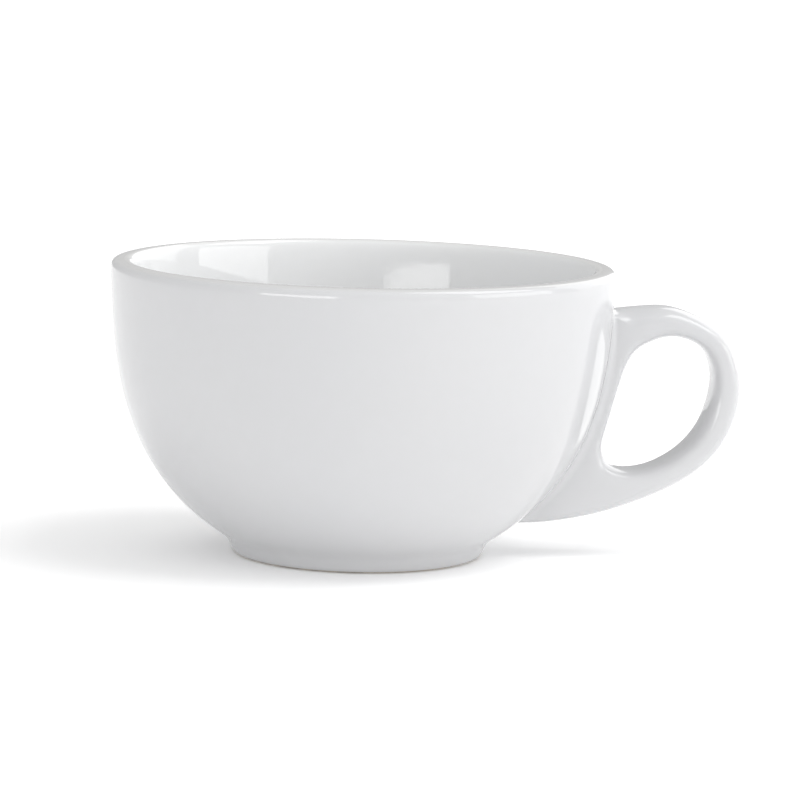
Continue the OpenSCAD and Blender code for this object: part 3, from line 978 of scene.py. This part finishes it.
# Each softbox: its name, its bearings right of the camera and heights above the floor, in
# degrees as seen from the cup, and the brightness that it takes from the studio's sizes
SOFTBOX_AWAY = 6.0
SOFTBOXES = (
    ("softbox_right", (51, 95), (3, 25), "right"),
    ("softbox_high", (50, 110), (38, 76), "high"),
    ("softbox_behind", (110, 170), (1, 40), "behind"),
    ("window", (-46, -11), (1, 8.4), "window"),
)
# The way to the brightest side of the room, seen from the cup: the camera is along -Y
BRIGHT_SIDE = (-0.35, -0.94, 0)
# Half the side of the floor, and how far it lies under the tread so that the two don't share a plane
FLOOR_HALF, FLOOR_DROP = 6.0, 0.02 * MM


def round_by_turn(v):
    return Matrix.Rotation(math.radians(-TURN), 3, "Z") @ Vector(v)


def add_camera(studio):
    yaw, pitch, roll, rise = (math.radians(v) for v in (YAW, PITCH, ROLL, RISE))
    ahead = Vector((math.sin(yaw) * math.cos(pitch), math.cos(yaw) * math.cos(pitch), -math.sin(pitch)))
    across = Vector((math.cos(yaw), -math.sin(yaw), 0))
    above = across.cross(ahead)
    right = across * math.cos(roll) + above * math.sin(roll)
    up = above * math.cos(roll) - across * math.sin(roll)
    place = (0, -DISTANCE * math.cos(rise), AIM_Z + DISTANCE * math.sin(rise))
    right, up, back, place = (round_by_turn(v) for v in (right, up, -ahead, place))
    camera = bpy.data.objects.new("camera", bpy.data.cameras.new("camera"))
    camera.data.lens, camera.data.sensor_width = studio.lens, SENSOR_MM
    camera.data.clip_start, camera.data.clip_end = CLIP_NEAR, CLIP_FAR
    camera.matrix_world = Matrix((
        (right.x, up.x, back.x, place.x), (right.y, up.y, back.y, place.y),
        (right.z, up.z, back.z, place.z), (0, 0, 0, 1)))
    bpy.context.scene.collection.objects.link(camera)
    bpy.context.scene.camera = camera


def add_softbox(name, bearing, height, radiance):
    """A softbox that fills those bearings and heights and looks that bright."""
    middle, rise = math.radians(CAMERA_BEARING + sum(bearing) / 2), math.radians(sum(height) / 2)
    way = Vector((math.cos(middle) * math.cos(rise), math.sin(middle) * math.cos(rise), math.sin(rise)))
    place = round_by_turn(SOFTBOX_AWAY * way)
    half_across, half_up = (math.radians(high - low) / 2 for low, high in (bearing, height))
    data = bpy.data.lights.new(name, "AREA")
    data.shape = "RECTANGLE"
    data.size = 2 * SOFTBOX_AWAY * math.tan(half_across) * math.cos(rise)
    data.size_y = 2 * SOFTBOX_AWAY * math.tan(half_up)
    data.energy = radiance * math.pi * data.size * data.size_y
    lamp = bpy.data.objects.new(name, data)
    lamp.location = place
    lamp.rotation_mode = "QUATERNION"
    lamp.rotation_quaternion = place.to_track_quat("Z", "Y")
    lamp.visible_camera = False
    bpy.context.scene.collection.objects.link(lamp)


def light_the_room(studio):
    """Even light all round, that grows from behind the cup to the side of the camera."""
    world = bpy.data.worlds.new("studio")
    world.use_nodes = True
    bpy.context.scene.world = world
    tree = world.node_tree
    sky = tree.nodes["Background"]
    sky.inputs["Color"].default_value = (1, 1, 1, 1)
    where = tree.nodes.new("ShaderNodeTexCoord")
    aside = tree.nodes.new("ShaderNodeVectorMath")
    aside.operation = "DOT_PRODUCT"
    aside.inputs[1].default_value = round_by_turn(BRIGHT_SIDE)
    tree.links.new(where.outputs["Generated"], aside.inputs[0])
    level = tree.nodes.new("ShaderNodeMapRange")
    level.inputs["From Min"].default_value = -1.0
    level.inputs["To Min"].default_value = studio.sky_behind
    level.inputs["To Max"].default_value = studio.sky_front
    tree.links.new(aside.outputs["Value"], level.inputs["Value"])
    tree.links.new(level.outputs[0], sky.inputs["Strength"])


class CUP_OT_studio(Operator):
    """Sets up the pale floor, the soft lights and the camera of the photograph"""
    bl_idname = "cup.studio"
    bl_label = "Set up the studio"

    def execute(self, context):
        scene, studio = context.scene, context.scene.cup_studio
        corners = np.array([(x * FLOOR_HALF, y * FLOOR_HALF, -FLOOR_DROP)
                            for x, y in ((-1, -1), (1, -1), (1, 1), (-1, 1))])
        floor = named_mesh("floor", corners, [(0, 1, 2, 3)])
        dress(floor, floor_material("floor", studio))
        light_the_room(studio)
        for name, bearing, height, brightness in SOFTBOXES:
            add_softbox(name, bearing, height, getattr(studio, brightness))
        add_camera(studio)
        scene.view_settings.view_transform = "Standard"
        scene.view_settings.look = "None"
        return {"FINISHED"}


GROUPS = (("Bowl", "cup_bowl", CupBowlSizes), ("Foot", "cup_foot", CupFootSizes),
          ("Handle", "cup_handle", CupHandleSizes), ("Finish", "cup_finish", CupFinish),
          ("Studio", "cup_studio", CupStudio))
OPERATORS = (CUP_OT_clay, CUP_OT_foot, CUP_OT_inner_coat, CUP_OT_outer_coat, CUP_OT_base_coat,
             CUP_OT_handle_coat, CUP_OT_studio)


class CUP_PT_panel(Panel):
    """Lists the buttons that make the cup's pieces, and the cup's sizes"""
    bl_idname = "CUP_PT_panel"
    bl_label = "Cappuccino cup"
    bl_space_type = "VIEW_3D"
    bl_region_type = "UI"
    bl_category = "Cup"

    def draw(self, context):
        for operator in OPERATORS:
            self.layout.operator(operator.bl_idname)
        for title, name, group in GROUPS:
            box = self.layout.box()
            box.label(text=title)
            for key in group.__annotations__:
                box.prop(getattr(context.scene, name), key)


def register():
    for _, name, group in GROUPS:
        bpy.utils.register_class(group)
        setattr(bpy.types.Scene, name, PointerProperty(type=group))
    for operator in OPERATORS:
        bpy.utils.register_class(operator)
    bpy.utils.register_class(CUP_PT_panel)


def unregister():
    bpy.utils.unregister_class(CUP_PT_panel)
    for operator in reversed(OPERATORS):
        bpy.utils.unregister_class(operator)
    for _, name, group in reversed(GROUPS):
        delattr(bpy.types.Scene, name)
        bpy.utils.unregister_class(group)


def main():
    register()
    bpy.ops.cup.clay()
    bpy.ops.cup.foot()
    bpy.ops.cup.inner_coat()
    bpy.ops.cup.outer_coat()
    bpy.ops.cup.base_coat()
    bpy.ops.cup.handle_coat()
    bpy.ops.cup.studio()


if __name__ == "__main__":
    main()
